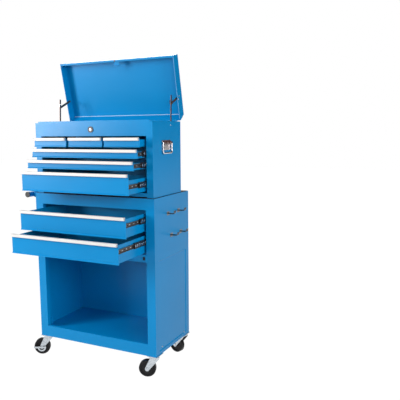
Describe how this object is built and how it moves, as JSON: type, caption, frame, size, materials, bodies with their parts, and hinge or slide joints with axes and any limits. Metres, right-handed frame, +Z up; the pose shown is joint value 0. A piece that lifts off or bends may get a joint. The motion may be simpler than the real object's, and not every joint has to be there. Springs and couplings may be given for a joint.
{
  "type": "tool chest",
  "caption": "Steel tool chest with a hinged lid and till, pulled-out drawers on ball slides, and a rolling base cabinet with deep drawers and an open compartment.",
  "frame": {"origin": "on the floor, under the middle of the object's overall box with the lid and drawers as stored", "axes": "+Z up, -Y towards the drawer fronts, +X towards the side with the wrench hooks"},
  "size_m": [0.7141, 0.5551, 1.3782],
  "materials": {
    "blue_paint": "satin powder coat",
    "pull_aluminium": "satin anodised",
    "rail_zinc": "zinc plated",
    "rail_black": "black satin",
    "chrome": "bright",
    "stay_steel": "zinc plated",
    "caster_zinc": "bright zinc",
    "wheel_rubber": "matt",
    "black_rubber": "ribbed matt",
    "black_plastic": "matt"
  },
  "bodies": {
    "cabinet": {"cabinet_shell": "blue_paint", "cabinet_front_rails": "blue_paint", "cabinet_floor": "blue_paint", "cabinet_top_tray": "blue_paint", "cabinet_top_mat": "black_rubber", "cabinet_outer_rails": "rail_black", "push_handle": "blue_paint", "push_handle_caps": "black_plastic", "wrench_hooks": "chrome", "caster_plates": "caster_zinc"},
    "chest": {"chest_shell": "blue_paint", "chest_front_panels": "blue_paint", "chest_till_floor": "blue_paint", "chest_till_mat": "black_rubber", "chest_dividers": "blue_paint", "chest_outer_rails": "rail_black", "side_handle_plates": "chrome", "lock_barrel": "chrome", "lid_hinge": "blue_paint"},
    "lid": {"lid": "blue_paint"},
    "stay_lower": {"stay_lower_links": "stay_steel"},
    "stay_upper": {"stay_upper_links": "stay_steel"},
    "side_handle_left": {"side_handle_left": "chrome"},
    "side_handle_right": {"side_handle_right": "chrome"},
    "lock_core": {"lock_core": "chrome"},
    "chest_small_left": {"chest_small_left_drawer": "blue_paint", "chest_small_left_pull": "pull_aluminium"},
    "chest_small_middle": {"chest_small_middle_drawer": "blue_paint", "chest_small_middle_pull": "pull_aluminium"},
    "chest_small_right": {"chest_small_right_drawer": "blue_paint", "chest_small_right_pull": "pull_aluminium"},
    "chest_row_2": {"chest_row_2_drawer": "blue_paint", "chest_row_2_pull": "pull_aluminium", "chest_row_2_inner_rails": "rail_zinc"},
    "chest_row_2_cages": {"chest_row_2_ball_cages": "rail_black"},
    "chest_row_3": {"chest_row_3_drawer": "blue_paint", "chest_row_3_pull": "pull_aluminium", "chest_row_3_inner_rails": "rail_zinc"},
    "chest_row_3_cages": {"chest_row_3_ball_cages": "rail_black"},
    "chest_row_4": {"chest_row_4_drawer": "blue_paint", "chest_row_4_pull": "pull_aluminium", "chest_row_4_inner_rails": "rail_zinc"},
    "chest_row_4_cages": {"chest_row_4_ball_cages": "rail_black"},
    "cabinet_upper": {"cabinet_upper_drawer": "blue_paint", "cabinet_upper_pull": "pull_aluminium", "cabinet_upper_inner_rails": "rail_zinc"},
    "cabinet_upper_cages": {"cabinet_upper_ball_cages": "rail_black"},
    "cabinet_lower": {"cabinet_lower_drawer": "blue_paint", "cabinet_lower_pull": "pull_aluminium", "cabinet_lower_inner_rails": "rail_zinc"},
    "cabinet_lower_cages": {"cabinet_lower_ball_cages": "rail_black"},
    "caster_fork_front_left": {"caster_fork_front_left": "caster_zinc"},
    "caster_wheel_front_left": {"caster_wheel_front_left": "wheel_rubber"},
    "caster_brake": {"caster_brake": "caster_zinc"},
    "caster_fork_front_right": {"caster_fork_front_right": "caster_zinc"},
    "caster_wheel_front_right": {"caster_wheel_front_right": "wheel_rubber"},
    "caster_fork_rear_left": {"caster_fork_rear_left": "caster_zinc"},
    "caster_wheel_rear_left": {"caster_wheel_rear_left": "wheel_rubber"},
    "caster_fork_rear_right": {"caster_fork_rear_right": "caster_zinc"},
    "caster_wheel_rear_right": {"caster_wheel_rear_right": "wheel_rubber"}
  },
  "joints": [
    {"name": "chest_lift", "type": "slide", "parent": "cabinet", "child": "chest", "axis": [0, 0, 1], "range_m": [0, 0.3]},
    {"name": "lid_turn", "type": "hinge", "parent": "chest", "child": "lid", "pos_m": [0.01405, 0.21514, 1.095], "axis": [1, 0, 0], "range_deg": [0, 77]},
    {"name": "stay_foot_turn", "type": "hinge", "parent": "chest", "child": "stay_lower", "pos_m": [0.01405, 0.12854, 1.0726], "axis": [1, 0, 0], "range_deg": [0, 83]},
    {"name": "stay_head_turn", "type": "hinge", "parent": "lid", "child": "stay_upper", "pos_m": [0.01405, 0.20844, 1.197], "axis": [1, 0, 0], "range_deg": [-84.2, 0]},
    {"name": "side_handle_left_swing", "type": "hinge", "parent": "chest", "child": "side_handle_left", "pos_m": [-0.29395, 0.07314, 1.001], "axis": [0, 1, 0], "range_deg": [0, 95]},
    {"name": "side_handle_right_swing", "type": "hinge", "parent": "chest", "child": "side_handle_right", "pos_m": [0.32205, 0.07314, 1.001], "axis": [0, -1, 0], "range_deg": [0, 95]},
    {"name": "lock_turn", "type": "hinge", "parent": "chest", "child": "lock_core", "pos_m": [0.01405, -0.04486, 1.06], "axis": [0, 1, 0], "range_deg": [0, 90]},
    {"name": "chest_small_left_slide", "type": "slide", "parent": "chest", "child": "chest_small_left", "axis": [0, -1, 0], "range_m": [-0.052, 0.113]},
    {"name": "chest_small_middle_slide", "type": "slide", "parent": "chest", "child": "chest_small_middle", "axis": [0, -1, 0], "range_m": [-0.045, 0.12]},
    {"name": "chest_small_right_slide", "type": "slide", "parent": "chest", "child": "chest_small_right", "axis": [0, -1, 0], "range_m": [-0.043, 0.122]},
    {"name": "chest_row_2_slide", "type": "slide", "parent": "chest", "child": "chest_row_2", "axis": [0, -1, 0], "range_m": [-0.067, 0.098]},
    {"name": "chest_row_2_cage_slide", "type": "slide", "parent": "chest", "child": "chest_row_2_cages", "axis": [0, -1, 0], "range_m": [-0.0337, 0.0492]},
    {"name": "chest_row_3_slide", "type": "slide", "parent": "chest", "child": "chest_row_3", "axis": [0, -1, 0], "range_m": [-0.1, 0.065]},
    {"name": "chest_row_3_cage_slide", "type": "slide", "parent": "chest", "child": "chest_row_3_cages", "axis": [0, -1, 0], "range_m": [-0.0502, 0.0327]},
    {"name": "chest_row_4_slide", "type": "slide", "parent": "chest", "child": "chest_row_4", "axis": [0, -1, 0], "range_m": [-0.141, 0.024]},
    {"name": "chest_row_4_cage_slide", "type": "slide", "parent": "chest", "child": "chest_row_4_cages", "axis": [0, -1, 0], "range_m": [-0.0707, 0.0122]},
    {"name": "cabinet_upper_slide", "type": "slide", "parent": "cabinet", "child": "cabinet_upper", "axis": [0, -1, 0], "range_m": [-0.153, 0.072]},
    {"name": "cabinet_upper_cage_slide", "type": "slide", "parent": "cabinet", "child": "cabinet_upper_cages", "axis": [0, -1, 0], "range_m": [-0.0767, 0.0362]},
    {"name": "cabinet_lower_slide", "type": "slide", "parent": "cabinet", "child": "cabinet_lower", "axis": [0, -1, 0], "range_m": [-0.212, 0.013]},
    {"name": "cabinet_lower_cage_slide", "type": "slide", "parent": "cabinet", "child": "cabinet_lower_cages", "axis": [0, -1, 0], "range_m": [-0.1062, 0.0067]},
    {"name": "caster_fork_front_left_swivel", "type": "hinge", "parent": "cabinet", "child": "caster_fork_front_left", "pos_m": [-0.27295, -0.02586, 0.0915], "axis": [0, 0, 1], "continuous": true},
    {"name": "caster_wheel_front_left_roll", "type": "hinge", "parent": "caster_fork_front_left", "child": "caster_wheel_front_left", "pos_m": [-0.30324, -0.0413, 0.0375], "axis": [0.454, -0.891, 0], "continuous": true},
    {"name": "brake_press", "type": "hinge", "parent": "caster_fork_front_left", "child": "caster_brake", "pos_m": [-0.30324, -0.0413, 0.0375], "axis": [0.454, -0.891, 0], "range_deg": [0, 15]},
    {"name": "caster_fork_front_right_swivel", "type": "hinge", "parent": "cabinet", "child": "caster_fork_front_right", "pos_m": [0.30105, -0.02586, 0.0915], "axis": [0, 0, 1], "continuous": true},
    {"name": "caster_wheel_front_right_roll", "type": "hinge", "parent": "caster_fork_front_right", "child": "caster_wheel_front_right", "pos_m": [0.26922, -0.03782, 0.0375], "axis": [0.3518, -0.9361, 0], "continuous": true},
    {"name": "caster_fork_rear_left_swivel", "type": "hinge", "parent": "cabinet", "child": "caster_fork_rear_left", "pos_m": [-0.27295, 0.24614, 0.0915], "axis": [0, 0, 1], "continuous": true},
    {"name": "caster_wheel_rear_left_roll", "type": "hinge", "parent": "caster_fork_rear_left", "child": "caster_wheel_rear_left", "pos_m": [-0.30653, 0.24082, 0.0375], "axis": [0.1564, -0.9877, 0], "continuous": true},
    {"name": "caster_fork_rear_right_swivel", "type": "hinge", "parent": "cabinet", "child": "caster_fork_rear_right", "pos_m": [0.30105, 0.24614, 0.0915], "axis": [0, 0, 1], "continuous": true},
    {"name": "caster_wheel_rear_right_roll", "type": "hinge", "parent": "caster_fork_rear_right", "child": "caster_wheel_rear_right", "pos_m": [0.26837, 0.25551, 0.0375], "axis": [-0.2756, -0.9613, 0], "continuous": true}
  ],
  "couplings": [
    {"joint": "stay_foot_turn", "follows": "lid_turn", "ratio": 1.075},
    {"joint": "stay_head_turn", "follows": "lid_turn", "ratio": -1.09},
    {"joint": "chest_row_2_cage_slide", "follows": "chest_row_2_slide", "ratio": 0.5},
    {"joint": "chest_row_3_cage_slide", "follows": "chest_row_3_slide", "ratio": 0.5},
    {"joint": "chest_row_4_cage_slide", "follows": "chest_row_4_slide", "ratio": 0.5},
    {"joint": "cabinet_upper_cage_slide", "follows": "cabinet_upper_slide", "ratio": 0.5},
    {"joint": "cabinet_lower_cage_slide", "follows": "cabinet_lower_slide", "ratio": 0.5}
  ]
}
